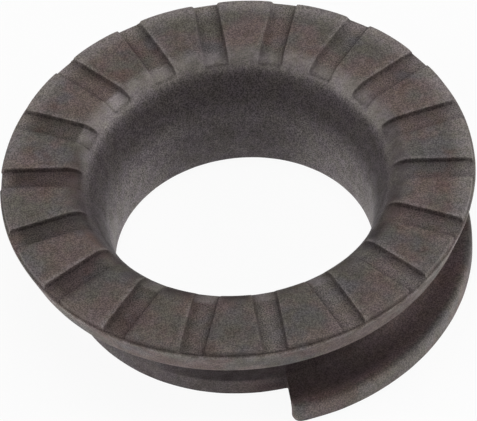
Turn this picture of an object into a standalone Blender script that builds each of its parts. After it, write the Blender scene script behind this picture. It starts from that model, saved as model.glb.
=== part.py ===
"""Coil spring pad: a moulded rubber ring that sits on the end of a coil spring.

The flange lies on the last coil, the neck goes down inside the coil, and a lip round part of
the neck's foot holds the wire in the channel above it. Grooves across the flange's top leave
a ring of raised pads. Sizes in metres and angles in degrees, +Z up, origin on the axis at the
foot. Azimuths run counter-clockwise from +X, seen from above.
"""

import math

import bmesh
import bpy
from mathutils import Matrix, Vector

# Flange: below a narrow ledge its rim tapers in to a bead that cups the wire
FLANGE_DIAMETER = 0.150
FLANGE_THICKNESS = 0.0098
LEDGE_DEPTH = 0.0019
RIM_TOP_RADIUS = 0.0004
RIM_TAPER = 20
BEAD_DEPTH = 0.0123
BEAD_RADIUS = 0.0012

# Pads and the grooves between them
PAD_SETBACK = 0.0011
PAD_END_LEAN = 10
GROOVE_COUNT = 18
GROOVE_AZIMUTH = -85.6
GROOVE_DEPTH = 0.0014
GROOVE_WIDTH = 0.0081
GROOVE_DRAFT = 20
GROOVE_LEVEL_END_DIAMETER = 0.1070
GROOVE_END_SLOPE = 18.5

# Neck and bore
OVERALL_HEIGHT = 0.0397
NECK_DIAMETER = 0.1158
THROAT_DIAMETER = 0.0817
BORE_MOUTH_DIAMETER = 0.0828

# Shoulder: a crown turns from the pads' top into the funnel, which ends upright at the throat
CROWN_RADIUS = 0.0060
CROWN_TURN = 50
FUNNEL_WIDTH = 0.0146
FUNNEL_DEPTH = 0.0292

# Channel for the wire, and the lip below it
WIRE_RADIUS = 0.0068
CHANNEL_WRAP = 60
LIP_WIDTH = 0.0148
LIP_EDGE_HEIGHT = 0.0072
LIP_TROUGH_DEPTH = 0.0007
LIP_CREST_RADIUS = 0.0016
LIP_FOOT_RADIUS = 0.0008
LIP_CORNER_RADIUS = 0.0028
LIP_START_AZIMUTH = -81.5
LIP_SWEEP = 180

# Facets
RING_SEGMENTS = 108
CROWN_SEGMENTS = 5
FUNNEL_SEGMENTS = 8
CHANNEL_SEGMENTS = 6
BEAD_SEGMENTS = 4
EDGE_SEGMENTS = 3
CORNER_SEGMENTS = 4

# How far a joined or cutting shape reaches past the surface that it meets
OVERLAP = 0.0015

# Share of a full quarter turn, as a cosine, that an arc cut short may still use
MOST_TURN = 0.95

SMOOTH_ANGLE = 30

RUBBER_COLOUR = (0.107, 0.094, 0.086, 1.0)
RUBBER_ROUGHNESS = 0.8


def clear_scene():
    for obj in list(bpy.data.objects):
        bpy.data.objects.remove(obj, do_unlink=True)


def rubber():
    material = bpy.data.materials.new("moulded_rubber")
    material.use_nodes = True
    shader = material.node_tree.nodes["Principled BSDF"]
    shader.inputs["Base Color"].default_value = RUBBER_COLOUR
    shader.inputs["Roughness"].default_value = RUBBER_ROUGHNESS
    shader.inputs["Metallic"].default_value = 0.0
    material.diffuse_color = RUBBER_COLOUR
    return material


def tan(degrees):
    return math.tan(math.radians(degrees))


def polar(centre, radius, degrees):
    """The point (r, z) at that angle round a centre, from +r towards +z."""
    angle = math.radians(degrees)
    return (centre[0] + radius * math.cos(angle), centre[1] + radius * math.sin(angle))


def arc(centre, radius, start, end, segments):
    """Points (r, z) along an arc, both ends included."""
    return [
        polar(centre, radius, start + (end - start) * step / segments)
        for step in range(segments + 1)
    ]


def bead_centre():
    """Centre of the bead's round, inside the line of the tapered rim."""
    top_height = OVERALL_HEIGHT - LEDGE_DEPTH - RIM_TOP_RADIUS
    top_radius = FLANGE_DIAMETER / 2 - RIM_TOP_RADIUS
    top_end = polar((top_radius, top_height), RIM_TOP_RADIUS, -RIM_TAPER)
    height = OVERALL_HEIGHT - BEAD_DEPTH + BEAD_RADIUS
    taper_radius = top_end[0] - (top_end[1] - height) * tan(RIM_TAPER)
    return (taper_radius - BEAD_RADIUS / math.cos(math.radians(RIM_TAPER)), height)


def channel_wrap(channel_radius):
    """How far the ceiling follows the wire, down to this angle, stopping short of the bead."""
    room = (bead_centre()[0] - BEAD_RADIUS - channel_radius) / WIRE_RADIUS
    return max(CHANNEL_WRAP, math.degrees(math.acos(max(-MOST_TURN, min(MOST_TURN, room)))))


def rim(inner_angle):
    """The flange's edge: round the bead from its inner side, then up the taper to the pads' top."""
    rim_radius = FLANGE_DIAMETER / 2
    pad_radius = rim_radius - PAD_SETBACK
    ledge = OVERALL_HEIGHT - LEDGE_DEPTH
    top_centre = (rim_radius - RIM_TOP_RADIUS, ledge - RIM_TOP_RADIUS)

    points = arc(bead_centre(), BEAD_RADIUS, inner_angle, -RIM_TAPER, BEAD_SEGMENTS)
    points += arc(top_centre, RIM_TOP_RADIUS, -RIM_TAPER, 90, EDGE_SEGMENTS)
    points.append((pad_radius + LEDGE_DEPTH * tan(PAD_END_LEAN), ledge))
    points.append((pad_radius, OVERALL_HEIGHT))
    return points


def shoulder():
    """From the pads' top over the crown, then down the funnel's elliptical wall to the throat."""
    funnel_start = math.atan2(FUNNEL_WIDTH * tan(CROWN_TURN), FUNNEL_DEPTH)
    funnel = []
    for step in range(FUNNEL_SEGMENTS + 1):
        angle = funnel_start + (math.radians(90) - funnel_start) * step / FUNNEL_SEGMENTS
        radius = THROAT_DIAMETER / 2 + FUNNEL_WIDTH * (1 - math.sin(angle))
        funnel.append((radius, OVERALL_HEIGHT - FUNNEL_DEPTH * (1 - math.cos(angle))))

    crown_drop = CROWN_RADIUS * (1 - math.cos(math.radians(CROWN_TURN)))
    crown_end = funnel[0][0] + (OVERALL_HEIGHT - crown_drop - funnel[0][1]) / tan(CROWN_TURN)
    crown_radius = crown_end + CROWN_RADIUS * math.sin(math.radians(CROWN_TURN))
    crown_centre = (crown_radius, OVERALL_HEIGHT - CROWN_RADIUS)
    return arc(crown_centre, CROWN_RADIUS, 90, 90 + CROWN_TURN, CROWN_SEGMENTS) + funnel


def body_section():
    """Flange and neck in section, counter-clockwise from the bore's mouth."""
    neck_radius = NECK_DIAMETER / 2
    ceiling = OVERALL_HEIGHT - FLANGE_THICKNESS
    channel_centre = (neck_radius + WIRE_RADIUS, ceiling - WIRE_RADIUS)

    points = [(BORE_MOUTH_DIAMETER / 2, 0.0), (neck_radius, 0.0)]
    wrap = channel_wrap(channel_centre[0])
    points += arc(channel_centre, WIRE_RADIUS, 180, wrap, CHANNEL_SEGMENTS)
    points += rim(wrap - 180)
    points += shoulder()
    return points


def lip_section(pull):
    """The lip in section, counter-clockwise, with its outer wall drawn in by the given amount."""
    neck_radius = NECK_DIAMETER / 2
    outer_radius = neck_radius + LIP_WIDTH - pull
    embedded_radius = neck_radius - OVERLAP
    foot_centre = (outer_radius - LIP_FOOT_RADIUS, LIP_FOOT_RADIUS)
    crest_centre = (outer_radius - LIP_CREST_RADIUS, LIP_EDGE_HEIGHT - LIP_CREST_RADIUS)
    channel_height = LIP_EDGE_HEIGHT - LIP_TROUGH_DEPTH + WIRE_RADIUS
    channel_centre = (neck_radius + WIRE_RADIUS, channel_height)
    room = (channel_centre[0] - crest_centre[0]) / WIRE_RADIUS
    trough_start = -180 + math.degrees(math.acos(max(0.0, min(MOST_TURN, room))))

    points = [(embedded_radius, 0.0)]
    points += arc(foot_centre, LIP_FOOT_RADIUS, -90, 0, EDGE_SEGMENTS)
    points += arc(crest_centre, LIP_CREST_RADIUS, 0, 90, EDGE_SEGMENTS)
    points += arc(channel_centre, WIRE_RADIUS, trough_start, -180, CHANNEL_SEGMENTS)
    points.append((embedded_radius, channel_height))
    return points


def lip_stations():
    """(azimuth, pull) of each section along the lip: full in between, drawn in at both ends."""
    end_azimuth = LIP_START_AZIMUTH + LIP_SWEEP
    corner_radius = min(LIP_CORNER_RADIUS, (LIP_WIDTH - LIP_CREST_RADIUS) / 2)
    corner_turn = math.degrees(corner_radius / (NECK_DIAMETER / 2 + LIP_WIDTH))
    corner = []
    for step in range(CORNER_SEGMENTS + 1):
        angle = math.radians(90) * step / CORNER_SEGMENTS
        corner.append((corner_turn * (1 - math.cos(angle)), corner_radius * (1 - math.sin(angle))))

    steps = round(LIP_SWEEP / 360 * RING_SEGMENTS)
    stations = [(LIP_START_AZIMUTH + turn, pull) for turn, pull in corner]
    stations += [(LIP_START_AZIMUTH + LIP_SWEEP * step / steps, 0.0) for step in range(1, steps)]
    stations += [(end_azimuth - turn, pull) for turn, pull in reversed(corner)]
    return stations


def new_object(name, bm):
    bmesh.ops.recalc_face_normals(bm, faces=bm.faces)
    mesh = bpy.data.meshes.new(name)
    bm.to_mesh(mesh)
    bm.free()
    obj = bpy.data.objects.new(name, mesh)
    bpy.context.scene.collection.objects.link(obj)
    return obj


def new_helper(name, bm):
    helper = new_object(name, bm)
    helper.hide_render = True
    helper.display_type = "WIRE"
    return helper


def turned_ring(name):
    """The flange and neck: their section spun once round the axis."""
    bm = bmesh.new()
    corners = [bm.verts.new((radius, 0.0, height)) for radius, height in body_section()]
    loop = [bm.edges.new((corners[i - 1], corners[i])) for i in range(len(corners))]
    start = Matrix.Rotation(math.radians(LIP_START_AZIMUTH), 3, "Z")
    bmesh.ops.rotate(bm, verts=corners, cent=(0, 0, 0), matrix=start)
    bmesh.ops.spin(
        bm,
        geom=corners + loop,
        cent=(0, 0, 0),
        axis=(0, 0, 1),
        angle=math.tau,
        steps=RING_SEGMENTS,
        use_merge=True,
    )
    return new_object(name, bm)


def loft(bm, sections):
    """Closed walls from section to section, with a flat face over the first and the last."""
    rings = [[bm.verts.new(point) for point in section] for section in sections]
    for before, after in zip(rings, rings[1:]):
        for i in range(len(before)):
            bm.faces.new((before[i - 1], before[i], after[i], after[i - 1]))
    bm.faces.new(rings[0])
    bm.faces.new(reversed(rings[-1]))


def lofted_lip(name):
    """The lip: its section carried from station to station, closed by a flat face at each end."""
    bm = bmesh.new()
    sections = []
    for azimuth, pull in lip_stations():
        turn = Matrix.Rotation(math.radians(azimuth), 3, "Z")
        sections.append([turn @ Vector((r, 0.0, z)) for r, z in lip_section(pull)])
    loft(bm, sections)
    return new_helper(name, bm)


def groove_stations():
    """(r, floor height) along a groove, outside in: level, then dropping away over the crown."""
    floor = OVERALL_HEIGHT - GROOVE_DEPTH
    level_end = GROOVE_LEVEL_END_DIAMETER / 2
    inner = THROAT_DIAMETER / 2 + OVERLAP
    inner_floor = floor - (level_end - inner) * tan(GROOVE_END_SLOPE)
    return [(FLANGE_DIAMETER / 2 + OVERLAP, floor), (level_end, floor), (inner, inner_floor)]


def groove_section(radius, floor):
    """The groove across, there: a level floor between walls that open upwards by their draft."""
    above = OVERALL_HEIGHT + OVERLAP
    floor_half = GROOVE_WIDTH / 2 - GROOVE_DEPTH * tan(GROOVE_DRAFT)
    above_half = floor_half + (above - floor) * tan(GROOVE_DRAFT)
    return [
        Vector((radius, -floor_half, floor)),
        Vector((radius, floor_half, floor)),
        Vector((radius, above_half, above)),
        Vector((radius, -above_half, above)),
    ]


def groove_cutter(name):
    """All the grooves as separate wedges in one cutter."""
    bm = bmesh.new()
    for groove in range(GROOVE_COUNT):
        azimuth = GROOVE_AZIMUTH + 360 * groove / GROOVE_COUNT
        turn = Matrix.Rotation(math.radians(azimuth), 3, "Z")
        loft(bm, [[turn @ point for point in groove_section(*at)] for at in groove_stations()])
    return new_helper(name, bm)


def add_boolean(obj, name, operation, other):
    modifier = obj.modifiers.new(name, "BOOLEAN")
    modifier.operation = operation
    modifier.solver = "EXACT"
    modifier.object = other


def apply_modifiers(obj):
    graph = bpy.context.evaluated_depsgraph_get()
    finished = bpy.data.meshes.new_from_object(obj.evaluated_get(graph))
    obj.modifiers.clear()
    obj.data = finished


def finish(obj, material):
    obj.data.materials.clear()
    obj.data.materials.append(material)
    obj.data.shade_smooth()
    obj.data.set_sharp_from_angle(angle=math.radians(SMOOTH_ANGLE))


def build():
    clear_scene()
    pad = turned_ring("spring_pad")
    add_boolean(pad, "add_lip", "UNION", lofted_lip("lip_helper"))
    add_boolean(pad, "cut_grooves", "DIFFERENCE", groove_cutter("groove_cutter"))
    apply_modifiers(pad)
    finish(pad, rubber())


build()
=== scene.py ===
"""The coil spring pad as it is photographed: one moulded rubber ring on a white table."""

import math

import bmesh
import bpy
import numpy as np
from mathutils import Matrix, Vector


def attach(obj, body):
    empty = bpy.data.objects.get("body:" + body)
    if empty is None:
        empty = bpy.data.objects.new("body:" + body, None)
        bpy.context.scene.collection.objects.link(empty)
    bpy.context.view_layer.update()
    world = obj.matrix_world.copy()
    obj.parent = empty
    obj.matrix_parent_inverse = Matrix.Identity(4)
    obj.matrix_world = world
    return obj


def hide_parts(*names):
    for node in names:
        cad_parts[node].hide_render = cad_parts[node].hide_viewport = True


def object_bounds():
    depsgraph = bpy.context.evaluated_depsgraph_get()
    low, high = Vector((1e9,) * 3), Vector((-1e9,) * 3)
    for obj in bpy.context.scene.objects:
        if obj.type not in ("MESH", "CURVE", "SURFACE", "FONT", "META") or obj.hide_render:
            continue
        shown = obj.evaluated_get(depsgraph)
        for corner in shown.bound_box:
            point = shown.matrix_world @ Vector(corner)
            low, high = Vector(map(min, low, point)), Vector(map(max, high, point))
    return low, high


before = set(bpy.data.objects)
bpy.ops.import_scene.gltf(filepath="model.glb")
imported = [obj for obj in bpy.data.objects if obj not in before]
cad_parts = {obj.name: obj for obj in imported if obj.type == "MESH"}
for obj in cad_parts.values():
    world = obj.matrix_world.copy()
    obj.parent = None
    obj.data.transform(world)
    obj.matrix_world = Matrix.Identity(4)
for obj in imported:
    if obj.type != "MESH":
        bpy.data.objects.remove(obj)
CAD_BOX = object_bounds()

# Sizes of the pad, in millimetres and degrees
MM = 0.001
MERGE_DISTANCE = 0.01
SMOOTH_ANGLE = 40

# Pads and grooves
GROOVES = 18
FIRST_GROOVE = -85.6
GROOVE_PITCH = 360 / GROOVES
GROOVE_DEPTH = 1.4
GROOVE_LEVEL_END = 53.5
GROOVE_END_SLOPE = 18.5
GROOVE_SLOPE_END = 49.3
PAD_TOP = 39.7
PAD_END = 74.2
PAD_CORNER = 1.0
CORNER_PAST_WALL = 0.3
PATTERN_CENTRE = (0.75, -0.45)

# The grooved top, inside which the finish is marked
TOP_LOWEST = 36
TOP_INNER_RADIUS = 48
TOP_OUTER_RADIUS = 74.4

# Lines along a groove: distance from its middle, and the share of its depth that lies there
GROOVE_LINES = ((0.0, 1.0), (2.5, 1.0), (3.3, 1.0), (3.55, 0.97), (3.95, 0.03), (4.2, 0.0))

# The line at the top of a groove's wall
WALL_STEP = 4
WALL_LINE = GROOVE_LINES[WALL_STEP][0]

# Lines from the last one to the pad's middle, by their share of the way
PAD_LINES = (0.4, 1.0)
HALF_LINES = len(GROOVE_LINES) + len(PAD_LINES) - 1
SECTOR_LINES = 2 * HALF_LINES
RING_LINES = GROOVES * SECTOR_LINES

# Where the first rows of the pad's end lie in a groove, as (radius, height)
GROOVE_END_ROWS = ((74.32, 37.83), (74.29, 38.05), (74.2, 38.22), (74.0, 38.29), (73.65, 38.3))

# How far the rim's top edge is worn back where a groove runs out, by groove
RIM_DIPS = {6: 0.65, 7: 0.65, 10: 0.45, 11: 0.3, 13: 0.4}
RIM_EDGE_RADIUS = 74
RIM_EDGE_HEIGHT = 36.5

# Outside this radius and below this height, each line keeps its turn at OUTER_LINE_RADIUS
OUTER_RADIUS = 58
OUTER_TOP = 36
OUTER_LINE_RADIUS = 55.67

# Neck and wire channel
NECK_RADIUS = 57.9
CHANNEL_RADIUS = 6.8
CHANNEL_CENTRE = NECK_RADIUS + CHANNEL_RADIUS
CEILING = 29.9

# Foot, as (radius, height), from the bore's mouth out
FOOT_SECTION = ((41.4, 0.6), (41.45, 0.0), (42.2, 0.0), (49.5, 0.0), (57.2, 0.0))

# Lip round half of the foot: a row's height on the neck, then its own (radius, height)
LIP_SECTION = (
    (0.0, 70.6, 0.0),
    (0.6, 71.9, 0.0),
    (1.2, 72.62, 0.12),
    (1.8, 72.7, 1.1),
    (2.4, 72.7, 3.2),
    (3.2, 72.7, 5.4),
    (4.0, 72.45, 6.75),
    (4.7, 71.6, 7.25),
    (5.2, 70.3, 7.13),
    (5.6, 67.6, 6.82),
    (6.0, 64.7, 6.5),
    (6.7, 62.4, 6.9),
    (7.9, 60.5, 7.95),
    (9.4, 59.1, 9.44),
    (11.1, 58.25, 11.15),
    (13.2, 57.95, 12.5),
)
LIP_START = -81.9
LIP_SWEEP = 180

# The roots of the lip's ends, outside this radius, turn in by this much
LIP_ROOT_RADIUS = 55
LIP_ROOT_TURN = 2.0

# The lines at each end of the lip: their turn from it, and how far their outer rows draw in
LIP_CORNER = ((0.0, 2.8), (0.3, 1.4), (1.1, 0.38), (2.2, 0.0))
LIP_PULLED_ROWS = 8

# The lip's first and last line, with the way that leads in from each
LIP_LAST_LINE = WALL_STEP + SECTOR_LINES * round(LIP_SWEEP / GROOVE_PITCH)
LIP_ENDS = {WALL_STEP: 1, LIP_LAST_LINE: -1}


def ring_section():
    """(radius, height) from the bore's mouth out under the foot, up the neck and over."""
    section = list(FOOT_SECTION)
    section += [(NECK_RADIUS, row[0]) for row in LIP_SECTION]
    section += [(NECK_RADIUS, 16.5), (NECK_RADIUS, 20.0)]
    for angle in (180, 162, 144, 126, 108, 90, 74, 61):
        turn = math.radians(angle)
        radius = CHANNEL_CENTRE + CHANNEL_RADIUS * math.cos(turn)
        section.append((radius, CEILING - CHANNEL_RADIUS * (1 - math.sin(turn))))
    section += [(69.3, 28.05), (69.95, 27.35), (70.9, 27.25), (71.6, 27.8), (71.95, 28.8)]
    section += [(73.1, 32.1), (74.5, 36.0), (74.95, 37.15), (75.02, 37.74), (74.65, 37.86)]
    return section


def top_section():
    """(radius, height) from the ledge over a pad, the crown and down the funnel and bore."""
    section = [(74.32, 37.83), (74.25, 38.3), (PAD_END, 39.45), (74.13, 39.66), (73.9, PAD_TOP)]
    section += [(radius, PAD_TOP) for radius in (72.0, 69.0, 65.0, 61.0, 57.5, 55.0)]
    section += [(53.2, 39.6), (51.6, 39.05), (50.3, 38.2), (49.2, 37.05), (47.9, 35.25)]
    section += [(46.3, 32.4), (44.6, 28.6), (43.1, 24.1), (41.9, 18.9), (41.15, 13.6)]
    section += [(40.87, 9.5), (41.1, 5.0)]
    return section


def floor_height(radius):
    """Height of a groove's floor: level, then falling over the crown."""
    fall = np.maximum(0.0, GROOVE_LEVEL_END - radius) * math.tan(math.radians(GROOVE_END_SLOPE))
    return PAD_TOP - GROOVE_DEPTH - fall


def groove_turn(groove):
    return FIRST_GROOVE + GROOVE_PITCH * groove


def pattern_offset(degrees):
    """How far the moulded pattern's own centre moves a groove in that direction to its left."""
    turn = np.radians(degrees)
    return PATTERN_CENTRE[1] * np.cos(turn) - PATTERN_CENTRE[0] * np.sin(turn)


def line_place(line):
    """Where a line of the ring lies: its groove, the side of it, the distance from the groove's
    middle, the share of its depth, and the share of the way on to the pad's middle."""
    groove, step = divmod(line, SECTOR_LINES)
    side = 1
    if step > HALF_LINES:
        groove += 1
        step = SECTOR_LINES - step
        side = -1
    if step < len(GROOVE_LINES):
        distance, depth = GROOVE_LINES[step]
        return groove, side, distance, depth, 0.0
    return groove, side, GROOVE_LINES[-1][0], 0.0, PAD_LINES[step - len(GROOVE_LINES)]


def line_turn(offset, side, share, radius):
    """Degrees from the groove's middle to that line at that radius."""
    turn = math.degrees(math.asin(offset / radius))
    return turn + (side * GROOVE_PITCH / 2 - turn) * share


def rounded_corner(radius, distance):
    """Moves a point near a pad's outer corner on to circles round the corner's centre."""
    along = 1 - (PAD_END - radius) / PAD_CORNER
    across = 1 - (distance - WALL_LINE) / PAD_CORNER
    if along <= 0 or across <= 0 or across > 1 + CORNER_PAST_WALL / PAD_CORNER:
        return radius, distance
    scale = max(along, across) / math.hypot(along, across)
    return (
        PAD_END - PAD_CORNER * (1 - along * scale),
        WALL_LINE + PAD_CORNER * (1 - across * scale),
    )


def at(radius, degrees, height):
    turn = math.radians(degrees)
    return Vector((radius * math.cos(turn), radius * math.sin(turn), height)) * MM


def select(piece):
    bpy.ops.object.select_all(action="DESELECT")
    piece.select_set(True)
    bpy.context.view_layer.objects.active = piece


def edit(piece):
    select(piece)
    bpy.ops.object.mode_set(mode="EDIT")
    return bmesh.from_edit_mesh(piece.data)


def leave_edit(piece):
    bmesh.update_edit_mesh(piece.data)
    bpy.ops.object.mode_set(mode="OBJECT")


def draw_outline(name, section):
    """A closed outline in the XZ plane, drawn from a circle with as many corners."""
    bpy.ops.object.select_all(action="DESELECT")
    bpy.ops.mesh.primitive_circle_add(vertices=len(section), radius=NECK_RADIUS * MM)
    outline = bpy.context.object
    outline.name = name
    outline.data.name = name
    rows = outline.data.attributes.new("row", "INT", "POINT")
    for vertex, (radius, height) in zip(outline.data.vertices, section):
        vertex.co = at(radius, 0, height)
        rows.data[vertex.index].value = vertex.index
    return outline


def spin_ring(piece):
    edit(piece)
    bpy.ops.mesh.select_all(action="SELECT")
    bpy.ops.mesh.spin(steps=RING_LINES, angle=math.tau, center=(0, 0, 0), axis=(0, 0, 1))
    bpy.ops.mesh.select_all(action="SELECT")
    bpy.ops.mesh.remove_doubles(threshold=MERGE_DISTANCE * MM)
    bpy.ops.mesh.normals_make_consistent(inside=False)
    leave_edit(piece)


def line_of(point):
    turn = math.degrees(math.atan2(point.y, point.x)) % 360
    return round(turn / 360 * RING_LINES) % RING_LINES


def groove_row(row, radius, height):
    """The groove's floor under that point of the pad's surface."""
    if row < len(GROOVE_END_ROWS):
        return GROOVE_END_ROWS[row]
    return radius, min(height, floor_height(radius))


def ring_point(line, row, radius, height):
    """Where a point of the spun ring goes. Rows count from the ledge on, over the top."""
    groove, side, distance, depth, share = line_place(line)
    line_radius = radius
    offset = 0.0
    if row >= 0:
        floor = groove_row(row, radius, height)
        radius += (floor[0] - radius) * depth
        height += (floor[1] - height) * depth
        line_radius = radius
        if 0 < row and 0 < distance and depth < 1 and share == 0:
            radius, distance = rounded_corner(radius, distance)
        offset = pattern_offset(groove_turn(groove))
    elif radius > RIM_EDGE_RADIUS and height > RIM_EDGE_HEIGHT:
        radius -= RIM_DIPS.get(groove % GROOVES, 0.0) * depth
    elif radius > OUTER_RADIUS and height < OUTER_TOP:
        line_radius = OUTER_LINE_RADIUS
    turn = line_turn(side * distance + offset, side, share, line_radius)
    return at(radius, groove_turn(groove) + turn, height)


def shape_ring(piece):
    """Turns each line to its place beside its groove, and lowers the grooves' floors."""
    mesh = edit(piece)
    rows = mesh.verts.layers.int["row"]
    lines = mesh.verts.layers.int.new("line")
    ledge = len(ring_section())
    for vertex in mesh.verts:
        line = line_of(vertex.co)
        vertex[lines] = line
        radius = math.hypot(vertex.co.x, vertex.co.y) / MM
        vertex.co = ring_point(line, vertex[rows] - ledge, radius, vertex.co.z / MM)
    leave_edit(piece)


def lip_station(line):
    """(azimuth, pull) of the lip's section at that line, pulled in towards both ends."""
    step = min(line - WALL_STEP, LIP_LAST_LINE - line)
    if step >= len(LIP_CORNER):
        groove, side, distance, _, share = line_place(line)
        turn = line_turn(side * distance, side, share, OUTER_LINE_RADIUS)
        return groove_turn(groove) + turn, 0.0
    turn, pull = LIP_CORNER[step]
    if line - WALL_STEP == step:
        return LIP_START + turn, pull
    return LIP_START + LIP_SWEEP - turn, pull


def lip_point(line, row):
    """Where a point of the neck's foot goes when the lip is pulled out of it."""
    azimuth, pull = lip_station(line)
    foot_radius = LIP_SECTION[0][1]
    _, radius, height = LIP_SECTION[row]
    way_in = max(0.0, (foot_radius - radius) / (foot_radius - NECK_RADIUS))
    azimuth += LIP_ROOT_TURN * way_in * LIP_ENDS.get(line, 0)
    if row <= LIP_PULLED_ROWS:
        radius -= pull
    return at(radius, azimuth, height)


def extrude_foot(piece, first_row, last_row):
    """Extrudes the neck's foot on the spot, between the lip's ends, and leaves it selected."""
    mesh = edit(piece)
    rows = mesh.verts.layers.int["row"]
    lines = mesh.verts.layers.int["line"]
    bpy.ops.mesh.select_mode(type="FACE")
    bpy.ops.mesh.select_all(action="DESELECT")
    for face in mesh.faces:
        in_rows = all(first_row <= vertex[rows] <= last_row for vertex in face.verts)
        in_lines = all(WALL_STEP <= vertex[lines] <= LIP_LAST_LINE for vertex in face.verts)
        if in_rows and in_lines:
            face.select_set(True)
    bpy.ops.mesh.extrude_region_move(TRANSFORM_OT_translate={"value": (0, 0, 0)})
    return bmesh.from_edit_mesh(piece.data)


def crease_lip_ends(mesh, lines):
    """Keeps the outline of the lip's two end faces sharp when the ring is rounded."""
    crease = mesh.edges.layers.float.new("crease_edge")
    for edge in mesh.edges:
        start, end = edge.verts
        along_line = start[lines] == end[lines]
        if along_line and start[lines] in LIP_ENDS and start.select and end.select:
            edge[crease] = 1.0


def pull_out_lip(piece):
    """Pulls the foot out to the lip's section, and turns the lip's roots in at its ends."""
    first_row = len(FOOT_SECTION)
    last_row = first_row + len(LIP_SECTION) - 1
    mesh = extrude_foot(piece, first_row, last_row)
    rows = mesh.verts.layers.int["row"]
    lines = mesh.verts.layers.int["line"]
    for vertex in mesh.verts:
        line = vertex[lines]
        if vertex.select:
            vertex.co = lip_point(line, vertex[rows] - first_row)
        elif line in LIP_ENDS and vertex[rows] <= last_row:
            if math.hypot(vertex.co.x, vertex.co.y) > LIP_ROOT_RADIUS * MM:
                turn = math.radians(LIP_ROOT_TURN * LIP_ENDS[line])
                vertex.co = Matrix.Rotation(turn, 3, "Z") @ vertex.co
    crease_lip_ends(mesh, lines)
    leave_edit(piece)


def round_off(piece):
    select(piece)
    modifier = piece.modifiers.new("rounding", "SUBSURF")
    modifier.levels = 1
    modifier.render_levels = 1
    bpy.ops.object.modifier_apply(modifier=modifier.name)
    bpy.ops.object.shade_smooth_by_angle(angle=math.radians(SMOOTH_ANGLE))


def make_pad():
    piece = draw_outline("moulded_pad", ring_section() + top_section())
    spin_ring(piece)
    shape_ring(piece)
    pull_out_lip(piece)
    round_off(piece)
    return piece


def between(value, low, high):
    """0 at low, 1 at high, straight in between."""
    return np.clip((value - low) / (high - low), 0, 1)


class Points:
    """Each point of the piece: its place, and how it lies to the groove next to it."""

    def __init__(self, mesh):
        places = np.empty(len(mesh.vertices) * 3)
        mesh.vertices.foreach_get("co", places)
        across, self.along, self.height = places.reshape(-1, 3).T / MM
        self.radius = np.hypot(across, self.along)
        turn = np.degrees(np.arctan2(self.along, across))
        self.groove = groove_turn(np.round((turn - FIRST_GROOVE) / GROOVE_PITCH))
        aside = self.radius * np.sin(np.radians(turn - self.groove)) - pattern_offset(self.groove)
        self.off_middle = np.abs(aside)

        # The groove's rear side, and the walls that face the right light and so get less painted shade
        self.rear = between(np.sign(aside) * np.cos(np.radians(self.groove)), -0.3, 0.3)
        facing = between(np.sign(aside) * np.sin(np.radians(self.groove)), 0.5, 0.95)
        self.shade_kept = 1 - facing * (0.25 + 0.25 * between(self.along, -20, 20))

        # The grooved top, as deep as the pads stand over the grooves' floors
        between_rims = (self.radius > TOP_INNER_RADIUS) & (self.radius < TOP_OUTER_RADIUS)
        self.top = (self.height > TOP_LOWEST) & between_rims
        level = np.array(top_section()[len(GROOVE_END_ROWS) - 1 :])[::-1]
        pad = np.interp(self.radius, level[:, 0], level[:, 1])
        self.grooved = between(pad - floor_height(self.radius), 0.0, 0.5) * self.top

        # Inside a groove: up to the wall at its rear, and fading further out at its front
        front = 1 - self.rear
        inner = WALL_LINE - 0.5 - 1.3 * front
        self.in_groove = between(self.off_middle, WALL_LINE + 1.9 * front, inner) * self.grooved


def floor_mark(points):
    level = between(points.radius, GROOVE_LEVEL_END - 0.8, GROOVE_LEVEL_END + 0.8)
    return points.in_groove * level


def slope_mark(points):
    falling = between(points.radius, GROOVE_LEVEL_END + 0.6, GROOVE_LEVEL_END - 0.4)
    return points.in_groove * falling


def wall_shade(points):
    """Painted shade: a dark line at the foot of each groove's walls, and a soft painted shadow beside
    it.
    """
    wall = between(points.off_middle, 2.6, 3.4) * between(points.off_middle, 4.1, 3.88)
    soft = between(points.off_middle, 0.2, 3.1) * between(points.off_middle, 4.2, 3.9)
    soft = soft * points.in_groove * (0.3 + 0.7 * points.rear)
    return np.maximum(0.68 * wall * points.grooved, 0.45 * soft) * points.shade_kept


def slope_end_shadow(points):
    """A painted shadow line where the slopes of the rear grooves end on the crown."""
    line = between(np.abs(points.radius - GROOVE_SLOPE_END), 0.6, 0.1)
    return line * between(points.off_middle, 4.0, 3.4) * points.top * between(points.along, 0, 24)


def pad_foot_shade(points):
    """Painted shade on the ledge at the foot of the pads' ends, most at the front."""
    ledge = (points.height > 37.5) & (points.radius > 73.9)
    line = between(points.radius, 74.0, 74.22) * between(points.radius, 74.8, 74.35)
    line = line * between(points.height, 39.5, 39.2) * ledge
    return line * (0.1 + 0.6 * between(points.along, -45, -66))


def pad_strip_shade(points):
    """Painted shade on the pads, along the front edge of the front left grooves."""
    front_left = between(np.cos(np.radians(points.groove - 238)), 0.6, 0.9)
    strip = between(points.off_middle, 3.8, 4.2) * between(points.off_middle, 6.9, 4.8)
    return strip * points.grooved * (1 - points.rear) * front_left


# The painted shade and painted shadow lines together, as one mark
def crease_mark(points):
    crease_shade = np.maximum(wall_shade(points), 0.6 * slope_end_shadow(points))
    return np.maximum(crease_shade, np.maximum(0.8 * pad_foot_shade(points), 0.25 * pad_strip_shade(points)))


def edge_mark(points):
    """The worn edges: the pads' along the rear of the grooves, worn and with a painted highlight, and
    the rim's top edge.
    """
    edge = between(points.off_middle, 3.95, 4.15) * between(points.off_middle, 5.6, 4.15)
    edge = edge * points.grooved * points.rear
    edge = edge * (0.7 + 0.9 * np.sin(np.radians(2 * points.groove)) ** 2)
    rim = between(points.radius, 74.6, 74.85) * between(points.height, 36.0, 37.3)
    return np.maximum(edge, rim)


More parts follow.
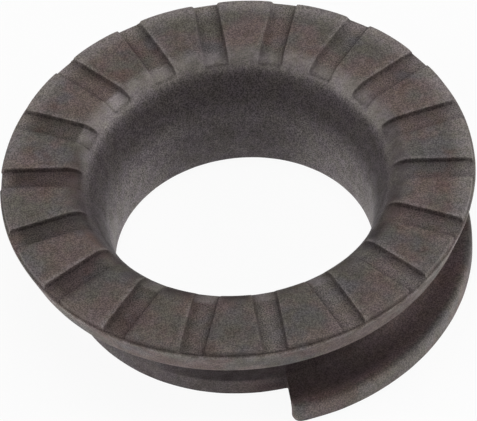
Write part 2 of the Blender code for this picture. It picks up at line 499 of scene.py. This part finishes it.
def mark_surfaces(piece):
    """Point attributes that the finish, with its painted light and shade, goes by."""
    points = Points(piece.data)
    marks = {
        "groove_floor": floor_mark(points),
        "groove_slope": slope_mark(points),
        "crease": crease_mark(points),
        "worn_and_lit_edge": edge_mark(points),
    }
    for name, values in marks.items():
        attribute = piece.data.attributes.new(name, "FLOAT", "POINT")
        attribute.data.foreach_set("value", values.astype(np.float32))


# Colours of the rubber and of what lies on it; the dust, chalk and dirt colours also serve as painted
# light, painted highlights and painted shade
BROWN = (0.136, 0.1045, 0.0965, 1)
GREEN = (0.109, 0.0995, 0.0885, 1)
RUST = (0.109, 0.072, 0.065, 1)
COOL = (0.1035, 0.1, 0.1015, 1)
GREY = (0.117, 0.104, 0.106, 1)
PLUM = (0.15, 0.101, 0.105, 1)
LILAC = (0.13, 0.118, 0.126, 1)
DUST_AND_LIGHT = (0.244, 0.221, 0.213, 1)
CHALK_AND_HIGHLIGHT = (0.37, 0.34, 0.33, 1)
DIRT_AND_SHADE = (0.017, 0.0105, 0.0112, 1)
GREENISH_TINT = (1.0, 1.0, 0.94, 1)
PINKISH_TINT = (1.015, 0.985, 1.03, 1)

# Specular level, the same all over
GLOSS = 0.2

# Ways out over the ring, in degrees from its right, along which painted light and shade grow
RIGHT_FRONT = -16.3
FRONT_LEFT = -106.3
LEFT = 188
BACK_LEFT = 128
BACK_CORNER = 140
BACK = 70.7


class Tree:
    """Short ways to add and join shader nodes."""

    def __init__(self, material):
        material.use_nodes = True
        self.nodes = material.node_tree.nodes
        self.links = material.node_tree.links

    def add(self, kind, values, **settings):
        node = self.nodes.new("ShaderNode" + kind)
        for name, value in settings.items():
            setattr(node, name, value)
        for socket, value in values.items():
            self.feed(node.inputs[socket], value)
        return node

    def feed(self, socket, value):
        if isinstance(value, bpy.types.NodeSocket):
            self.links.new(value, socket)
        else:
            socket.default_value = value

    def calc(self, operation, first, second=0.0):
        return self.add("Math", {0: first, 1: second}, operation=operation).outputs[0]

    def plus(self, total, *others):
        for other in others:
            total = self.calc("ADD", total, other)
        return total

    def times(self, product, *others):
        for other in others:
            product = self.calc("MULTIPLY", product, other)
        return product

    def vector(self, operation, first, second=(0, 0, 0), output="Vector"):
        return self.add("VectorMath", {0: first, 1: second}, operation=operation).outputs[output]

    def ramp(self, value, low, high, out_low=0.0, out_high=1.0):
        """out_low at low, out_high at high, smooth in between and level beyond."""
        ends = {"From Min": low, "From Max": high, "To Min": out_low, "To Max": out_high}
        node = self.add("MapRange", {"Value": value, **ends}, interpolation_type="SMOOTHSTEP")
        return node.outputs["Result"]

    def mix(self, share, first, second, blend="MIX"):
        """The first colour where the share is 0. Inputs 6 and 7 are the node's colours."""
        values = {0: share, 6: first, 7: second}
        return self.add("Mix", values, data_type="RGBA", blend_type=blend).outputs[2]


class Rubber(Tree):
    """The rubber's nodes: its colour so far, and what its layers go by, in millimetres."""

    def __init__(self, material):
        super().__init__(material)
        self.colour = None
        self.place = self.add("TexCoord", {}).outputs["Object"]
        self.find_places()
        self.find_regions()
        self.add_noises()
        self.floor = self.mark("groove_floor")
        self.slope = self.mark("groove_slope")
        self.crease = self.mark("crease")
        self.edge = self.mark("worn_and_lit_edge")

    def find_places(self):
        """Across to the right, along to the back, height, and radius from the ring's axis."""
        self.measured = self.vector("MULTIPLY", self.place, (1 / MM, 1 / MM, 1 / MM))
        parts = self.add("SeparateXYZ", {"Vector": self.measured})
        self.across, self.along, self.height = parts.outputs
        flat = self.vector("MULTIPLY", self.measured, (1, 1, 0))
        self.radius = self.vector("LENGTH", flat, output="Value")
        self.aside = self.calc("ABSOLUTE", self.across)

    def find_regions(self):
        """Masks that several layers share."""
        self.inside = self.ramp(self.radius, 52, 47.5)
        self.outside = self.calc("SUBTRACT", 1.0, self.inside)
        self.front = self.ramp(self.along, -15, -45)
        self.sideways = self.ramp(self.aside, 10, 38)
        self.endways = self.ramp(self.calc("ABSOLUTE", self.along), 12, 45)
        self.crown = self.times(
            self.ramp(self.radius, 55.5, 51.2),
            self.ramp(self.height, 33.5, 36.8),
        )

    def add_noises(self):
        self.patches = self.noise(scale=48, detail=3.0, rough=0.6)
        self.spots = self.noise(scale=95, detail=2.0, rough=0.55, shift=(0.31, 0.17, 0.05))
        self.stains = self.noise(scale=70, detail=2.0, rough=0.6, shift=(0.07, 0.42, 0.21))
        self.blotches = self.noise(scale=260, detail=3.0, rough=0.6)
        self.tints = self.noise(scale=170, detail=3.0, rough=0.65, shift=(0.53, 0.11, 0.37))
        self.grain = self.noise(scale=950, detail=2.0, rough=0.7)
        self.fine = self.noise(scale=2300, detail=1.0, rough=0.5)

    def noise(self, scale, detail, rough, shift=(0, 0, 0)):
        place = self.vector("ADD", self.place, shift)
        values = {"Vector": place, "Scale": scale, "Detail": detail, "Roughness": rough}
        return self.add("TexNoise", values).outputs["Fac"]

    def mark(self, name):
        return self.add("Attribute", {}, attribute_name=name).outputs["Fac"]

    def out_to(self, azimuth):
        """How far out over the ring a point lies that way."""
        turn = math.radians(azimuth)
        way = (math.cos(turn), math.sin(turn), 0)
        return self.vector("DOT_PRODUCT", self.measured, way, output="Value")

    def lay(self, colour, *shares):
        """Lays a colour on what is there, as thick as the product of the shares."""
        self.colour = self.mix(self.times(*shares), self.colour, colour)


def mix_compound(rubber):
    """The bare rubber: brown and greenish patches, cooler and rusty stains, greyer inside."""
    rubber.colour = rubber.mix(rubber.ramp(rubber.patches, 0.42, 0.58), BROWN, GREEN)
    rubber.lay(COOL, rubber.ramp(rubber.stains, 0.5, 0.66, 0.0, 0.7))
    rubber.lay(RUST, rubber.ramp(rubber.spots, 0.54, 0.72, 0.0, 0.7))
    rubber.lay(GREY, rubber.inside)


def lighten_pad_ends(rubber):
    """A lighter colour on the pads' outer ends, a little at the front and most at the back."""
    end = rubber.times(rubber.ramp(rubber.radius, 66.5, 73.5), rubber.ramp(rubber.height, 37, 38.5))
    rubber.lay(DUST_AND_LIGHT, end, rubber.ramp(rubber.out_to(BACK), -33.0, 28.3, 0.14, 0.68))


def dust_and_light_crown(rubber):
    """Dust on the rubbed crown, with a painted highlight that grows towards the back, and chalk on
    both sides of it there.
    """
    rear = rubber.ramp(rubber.out_to(BACK), -13.2, 18.9)
    rubber.lay(DUST_AND_LIGHT, rubber.crown, rear, rubber.ramp(rubber.blotches, 0.62, 0.4, 0.55, 0.74))
    rubber.lay(
        CHALK_AND_HIGHLIGHT,
        rubber.crown,
        rubber.ramp(rubber.radius, 52.2, 50.6),
        rubber.ramp(rubber.along, 0, 13),
        rubber.ramp(rubber.aside, 26, 34),
        rubber.ramp(rubber.across, 46, 41, 0.0, 0.22),
        rubber.ramp(rubber.across, -50.5, -44),
    )


def dust_and_shade_lip(rubber):
    """Thin dust on the lip's outer wall, and painted shade where the wall turns away at the right."""
    wall = rubber.times(rubber.ramp(rubber.radius, 70.5, 72), rubber.ramp(rubber.height, 9, 6))
    rubber.lay(DUST_AND_LIGHT, wall, 0.2)
    rubber.lay(DIRT_AND_SHADE, wall, rubber.ramp(rubber.across, 66, 71.2, 0.0, 0.62))


def shade_crown(rubber):
    """Painted shade on the crown, on all four sides, and less of it on the grooves' slopes."""
    crown_shade = rubber.plus(
        rubber.ramp(rubber.out_to(RIGHT_FRONT), 36, 50, 0.0, 0.56),
        rubber.ramp(rubber.out_to(FRONT_LEFT), 42, 51, 0.0, 0.52),
        rubber.ramp(rubber.across, -46.5, -51, 0.0, 0.32),
        rubber.ramp(rubber.along, 46.5, 50.5, 0.0, 0.2),
    )
    rubber.lay(DIRT_AND_SHADE, rubber.crown, crown_shade, rubber.ramp(rubber.slope, 0.0, 1.0, 1.0, 0.2))


def light_and_shade_floors(rubber):
    """Painted shade on the groove floors at the left and the right, darker near the rim at the front,
    lighter front right.
    """
    left = rubber.times(
        rubber.ramp(rubber.out_to(LEFT), 27, 63, 0.0, 0.6),
        rubber.ramp(rubber.along, 36, 14, 0.62, 1.0),
        rubber.ramp(rubber.radius, 73.8, 69.3, 0.12, 1.0),
    )
    right = rubber.ramp(rubber.across, 35, 62, 0.0, 0.27)
    rubber.lay(DIRT_AND_SHADE, rubber.floor, rubber.plus(left, right))
    rubber.lay(DIRT_AND_SHADE, rubber.floor, rubber.ramp(rubber.radius, 69.5, 73), rubber.front, 0.2)
    front_right = rubber.times(
        rubber.ramp(rubber.along, -30, -50),
        rubber.ramp(rubber.across, -20, 3),
    )
    rubber.lay(DUST_AND_LIGHT, rubber.floor, front_right, 0.28)


def tint_channel_and_shade_front(rubber):
    """The wire channel's own tint at the front, and thin painted shade all over the front."""
    channel = rubber.times(
        rubber.ramp(rubber.radius, 71.8, 69.5),
        rubber.ramp(rubber.height, 30, 26.5),
        rubber.ramp(rubber.along, 5, -20),
        rubber.outside,
    )
    tint = rubber.mix(rubber.ramp(rubber.across, -14, 4), LILAC, PLUM)
    rubber.lay(tint, channel, 0.6)
    rubber.lay(DIRT_AND_SHADE, rubber.front, rubber.outside, 0.1)


def shade_rim(rubber):
    """Painted shade on the tapered rim at the front, more of it to the right."""
    rim = rubber.times(
        rubber.ramp(rubber.radius, 70.5, 72),
        rubber.ramp(rubber.height, 24, 28),
        rubber.ramp(rubber.height, 38.5, 37),
        rubber.ramp(rubber.along, -32, -55),
    )
    rubber.lay(DIRT_AND_SHADE, rim, rubber.ramp(rubber.across, 10, 34, 0.12, 0.3))


def shade_neck(rubber):
    """Painted shade on the front of the neck, and a darker painted shadow round it under the flange.
    """
    neck = rubber.times(
        rubber.ramp(rubber.radius, 60.5, 58.5),
        rubber.ramp(rubber.height, 24, 18),
        rubber.ramp(rubber.along, -12, -30),
        rubber.outside,
    )
    rubber.lay(DIRT_AND_SHADE, neck, 0.3)
    rubber.lay(
        DIRT_AND_SHADE,
        neck,
        rubber.ramp(rubber.height, 5.5, 6.9),
        rubber.ramp(rubber.along, -32, -52),
        rubber.ramp(rubber.across, -36, -12, 0.24, 0.94),
        rubber.ramp(rubber.across, -2, 13, 1.0, 0.2),
    )


def shade_lip_corner(rubber):
    """Painted shade in the trough beside the neck, from the lip's visible end to the right."""
    rubber.lay(
        DIRT_AND_SHADE,
        rubber.ramp(rubber.across, -6, 6),
        rubber.ramp(rubber.across, 56, 30),
        rubber.ramp(rubber.along, -36, -46),
        rubber.ramp(rubber.radius, 71, 67),
        rubber.ramp(rubber.height, 28, 20),
        0.46,
    )


def shade_funnel(rubber):
    """Painted shade down the funnel, from a line that rises in the middle and at both far sides."""
    line_rise = rubber.plus(
        rubber.ramp(rubber.aside, 12, 28, 1.9, 0.0),
        rubber.ramp(rubber.aside, 37, 47, 0.0, 1.0),
    )
    funnel = rubber.times(
        rubber.ramp(rubber.height, 17, 27),
        rubber.ramp(rubber.calc("SUBTRACT", rubber.height, line_rise), 36.7, 30.7),
        rubber.inside,
    )
    rubber.lay(DIRT_AND_SHADE, funnel, rubber.ramp(rubber.sideways, 0.0, 1.0, 0.54, 0.61))


def light_and_shade_bore(rubber):
    """Painted light at the bore's sides, painted shade at its front and back."""
    bore = rubber.times(rubber.ramp(rubber.height, 24, 12), rubber.inside)
    rubber.lay(DUST_AND_LIGHT, bore, rubber.sideways, 0.3)
    rubber.lay(DIRT_AND_SHADE, bore, rubber.ramp(rubber.sideways, 0.0, 0.8, 0.34, 0.0))


def shade_left_funnel(rubber):
    """More painted shade high on the funnel, at its left front."""
    rubber.lay(
        DIRT_AND_SHADE,
        rubber.ramp(rubber.across, -28, -42),
        rubber.ramp(rubber.along, 8, -6),
        rubber.ramp(rubber.height, 26, 32),
        rubber.ramp(rubber.radius, 52, 49.5, 0.0, 0.34),
    )


def light_and_shade_slopes(rubber):
    """The grooves' slopes: painted light at the front and back left, a painted highlight at the back
    left corner, and painted shade at both sides and back right.
    """
    back_left = rubber.out_to(BACK_LEFT)
    lit_share = rubber.plus(
        rubber.times(rubber.endways, rubber.ramp(rubber.along, -30, -51, 0.0, 0.55)),
        rubber.ramp(back_left, 41.5, 49.5, 0.0, 0.66),
    )
    rubber.lay(DUST_AND_LIGHT, rubber.slope, lit_share)
    rubber.lay(CHALK_AND_HIGHLIGHT, rubber.slope, rubber.ramp(rubber.out_to(BACK_CORNER), 45, 51, 0.0, 0.3))
    rubber.lay(DIRT_AND_SHADE, rubber.slope, rubber.ramp(rubber.endways, 0.0, 0.7, 0.4, 0.0))
    off_left = rubber.ramp(back_left, 45.5, 39, 0.0, 0.16)
    rubber.lay(DIRT_AND_SHADE, rubber.slope, rubber.ramp(rubber.along, 0, 20), off_left)


def wear_and_shade_surface(rubber):
    """Mottling all over, ragged painted shade in the creases, lighter worn edges with a painted
    highlight.
    """
    rubber.lay(DIRT_AND_SHADE, rubber.ramp(rubber.blotches, 0.42, 0.75, 0.0, 0.1))
    ragged = rubber.times(
        rubber.ramp(rubber.blotches, 0.3, 0.6, 0.75, 1.0),
        rubber.ramp(rubber.grain, 0.36, 0.58, 0.66, 1.06),
    )
    rubber.lay(DIRT_AND_SHADE, rubber.crease, ragged)
    rubber.lay(DUST_AND_LIGHT, rubber.edge, rubber.ramp(rubber.blotches, 0.62, 0.4, 0.1, 0.38))


def speckle(rubber):
    """Specks, each a share lighter or darker than what it lies on: stronger on the grooves'
    floors and inside, weaker on the crown."""
    speck = rubber.times(
        rubber.ramp(rubber.blotches, 0.25, 0.6, 1.05, 0.985),
        rubber.ramp(rubber.grain, 0.3, 0.7, 0.9, 1.11),
        rubber.ramp(rubber.fine, 0.27, 0.73, 1.58, 0.5),
    )
    stronger = rubber.times(rubber.plus(rubber.floor, rubber.inside), 0.3)
    strength = rubber.plus(0.82, stronger, rubber.times(rubber.crown, -0.4))
    speck = rubber.plus(1.0, rubber.times(rubber.plus(speck, -1.0), strength))
    scaled = rubber.add("VectorMath", {0: rubber.colour, "Scale": speck}, operation="SCALE")
    tint = rubber.mix(rubber.ramp(rubber.tints, 0.36, 0.64), GREENISH_TINT, PINKISH_TINT)
    rubber.colour = rubber.mix(1.0, scaled.outputs[0], tint, blend="MULTIPLY")


def set_surface(rubber):
    """Joins the colour, a roughness that varies and the grain's relief to the shader."""
    shader = rubber.nodes["Principled BSDF"]
    rubber.feed(shader.inputs["Base Color"], rubber.colour)
    rubber.feed(shader.inputs["Roughness"], rubber.ramp(rubber.blotches, 0.2, 0.8, 0.6, 0.88))
    shader.inputs["Specular IOR Level"].default_value = GLOSS
    relief = rubber.plus(rubber.times(rubber.grain, 0.7), rubber.times(rubber.fine, 0.3))
    bump = rubber.add("Bump", {"Strength": 0.6, "Distance": 0.3 * MM, "Height": relief})
    rubber.feed(shader.inputs["Normal"], bump.outputs["Normal"])


def moulded_rubber():
    """The worn and dusty rubber, with painted light and shade, one layer on another."""
    material = bpy.data.materials.new("moulded_rubber")
    rubber = Rubber(material)
    mix_compound(rubber)
    lighten_pad_ends(rubber)
    dust_and_light_crown(rubber)
    dust_and_shade_lip(rubber)
    shade_crown(rubber)
    light_and_shade_floors(rubber)
    tint_channel_and_shade_front(rubber)
    shade_rim(rubber)
    shade_neck(rubber)
    shade_lip_corner(rubber)
    shade_funnel(rubber)
    light_and_shade_bore(rubber)
    shade_left_funnel(rubber)
    light_and_shade_slopes(rubber)
    wear_and_shade_surface(rubber)
    speckle(rubber)
    set_surface(rubber)
    return material


# Camera, found from the outlines of the flange and the bore, in metres and degrees
PHOTO_WIDTH = 477
PHOTO_HEIGHT = 421
FLANGE_RADIUS = 0.075
CAMERA_ELEVATION = 47.94
CAMERA_ROLL = 5.62
CAMERA_DISTANCE = 24 * FLANGE_RADIUS
CAMERA_REACH = 20
PIXELS_PER_RADIUS = 238.687
TOP_CENTRE_PIXEL = (236.887, 171.4)
SENSOR_WIDTH = 36

# Table and lights, in metres and watts
TABLE_SIZE = 12
TABLE_COLOUR = (0.85, 0.85, 0.85, 1)
TABLE_ROUGHNESS = 0.9
WHITE = (1, 1, 1, 1)
WHITE_SHARE = 0.93
ROOM_LIGHT = 0.06
SOFT_BOX_SIZE = 0.9
SOFT_BOX_DISTANCE = 1.3
LEFT_BOX_WATTS = 8.0
RIGHT_BOX_WATTS = 9.6
TOP_BOX_WATTS = 7.5
TABLE_GLOW_WATTS = 5.4
TABLE_GLOW_SIZE = 1.6
TABLE_GLOW_HEIGHT = 0.0004


def add_camera():
    """The photograph's view, with the middle of the pad's top at TOP_CENTRE_PIXEL."""
    elevation = math.radians(CAMERA_ELEVATION)
    roll = math.radians(CAMERA_ROLL)
    target = Vector((0, 0, CAD_BOX[1][2]))
    forward = Vector((0, math.cos(elevation), -math.sin(elevation)))
    up = Vector((0, math.sin(elevation), math.cos(elevation)))
    right = Vector((1, 0, 0))
    rolled_right = right * math.cos(roll) - up * math.sin(roll)
    rolled_up = right * math.sin(roll) + up * math.cos(roll)
    place = target - forward * CAMERA_DISTANCE
    metres_per_pixel = FLANGE_RADIUS / PIXELS_PER_RADIUS
    aim = target + rolled_right * (PHOTO_WIDTH / 2 - TOP_CENTRE_PIXEL[0]) * metres_per_pixel
    aim -= rolled_up * (PHOTO_HEIGHT / 2 - TOP_CENTRE_PIXEL[1]) * metres_per_pixel
    view = (aim - place).normalized()
    side = (rolled_right - view * rolled_right.dot(view)).normalized()
    camera = bpy.data.objects.new("camera", bpy.data.cameras.new("camera"))
    bpy.context.scene.collection.objects.link(camera)
    camera.data.sensor_width = SENSOR_WIDTH
    camera.data.lens = SENSOR_WIDTH * PIXELS_PER_RADIUS * CAMERA_DISTANCE / FLANGE_RADIUS / PHOTO_WIDTH
    camera.data.clip_end = CAMERA_REACH
    facing = Matrix((side, side.cross(view), -view)).transposed().to_4x4()
    camera.matrix_world = Matrix.Translation(place) @ facing
    bpy.context.scene.camera = camera


def white_table():
    """White to the camera, with the pad's soft shadow left in it."""
    material = bpy.data.materials.new("white_table")
    tree = Tree(material)
    shader = tree.nodes["Principled BSDF"]
    shader.inputs["Base Color"].default_value = TABLE_COLOUR
    shader.inputs["Roughness"].default_value = TABLE_ROUGHNESS
    white = tree.add("Emission", {"Color": WHITE, "Strength": 1.0})
    rays = tree.add("LightPath", {}).outputs
    seen = tree.calc("MAXIMUM", rays["Is Camera Ray"], rays["Is Glossy Ray"])
    seen = tree.calc("MAXIMUM", seen, rays["Is Transmission Ray"])
    share = tree.times(seen, WHITE_SHARE)
    mix = tree.add("MixShader", {0: share, 1: shader.outputs[0], 2: white.outputs[0]})
    tree.feed(tree.nodes["Material Output"].inputs["Surface"], mix.outputs[0])
    return material


def add_floor():
    bpy.ops.mesh.primitive_plane_add(size=TABLE_SIZE, location=(0, 0, CAD_BOX[0][2]))
    floor = bpy.context.object
    floor.name = "floor"
    floor.data.materials.append(white_table())


def add_soft_box(name, azimuth, elevation, watts, size=SOFT_BOX_SIZE, distance=SOFT_BOX_DISTANCE):
    """A square lamp that way from the pad, turned to face it."""
    lamp = bpy.data.objects.new(name, bpy.data.lights.new(name, "AREA"))
    bpy.context.scene.collection.objects.link(lamp)
    lamp.data.size = size
    lamp.data.energy = watts
    turn = math.radians(azimuth)
    lift = math.radians(elevation)
    level = math.cos(lift)
    away = Vector((math.cos(turn) * level, math.sin(turn) * level, math.sin(lift)))
    lamp.location = away * distance
    lamp.rotation_euler = away.to_track_quat("Z", "Y").to_euler()
    return lamp


def add_lights():
    """An even room, three soft boxes, and the light that the white table throws back."""
    world = bpy.data.worlds.new("room")
    bpy.context.scene.world = world
    world.use_nodes = True
    background = world.node_tree.nodes["Background"]
    background.inputs["Color"].default_value = WHITE
    background.inputs["Strength"].default_value = ROOM_LIGHT
    add_soft_box("left_box", 184, 24, LEFT_BOX_WATTS)
    add_soft_box("right_box", 2, 24, RIGHT_BOX_WATTS)
    add_soft_box("top_box", 0, 88, TOP_BOX_WATTS)
    glow = add_soft_box("table_glow", 0, -90, TABLE_GLOW_WATTS, TABLE_GLOW_SIZE, distance=0.0)
    glow.location.z = TABLE_GLOW_HEIGHT
    glow.visible_camera = False


pad = make_pad()
mark_surfaces(pad)
pad.data.materials.append(moulded_rubber())
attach(pad, "root")
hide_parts("spring_pad")
add_floor()
add_lights()
add_camera()
bpy.context.scene.view_settings.view_transform = "Standard"
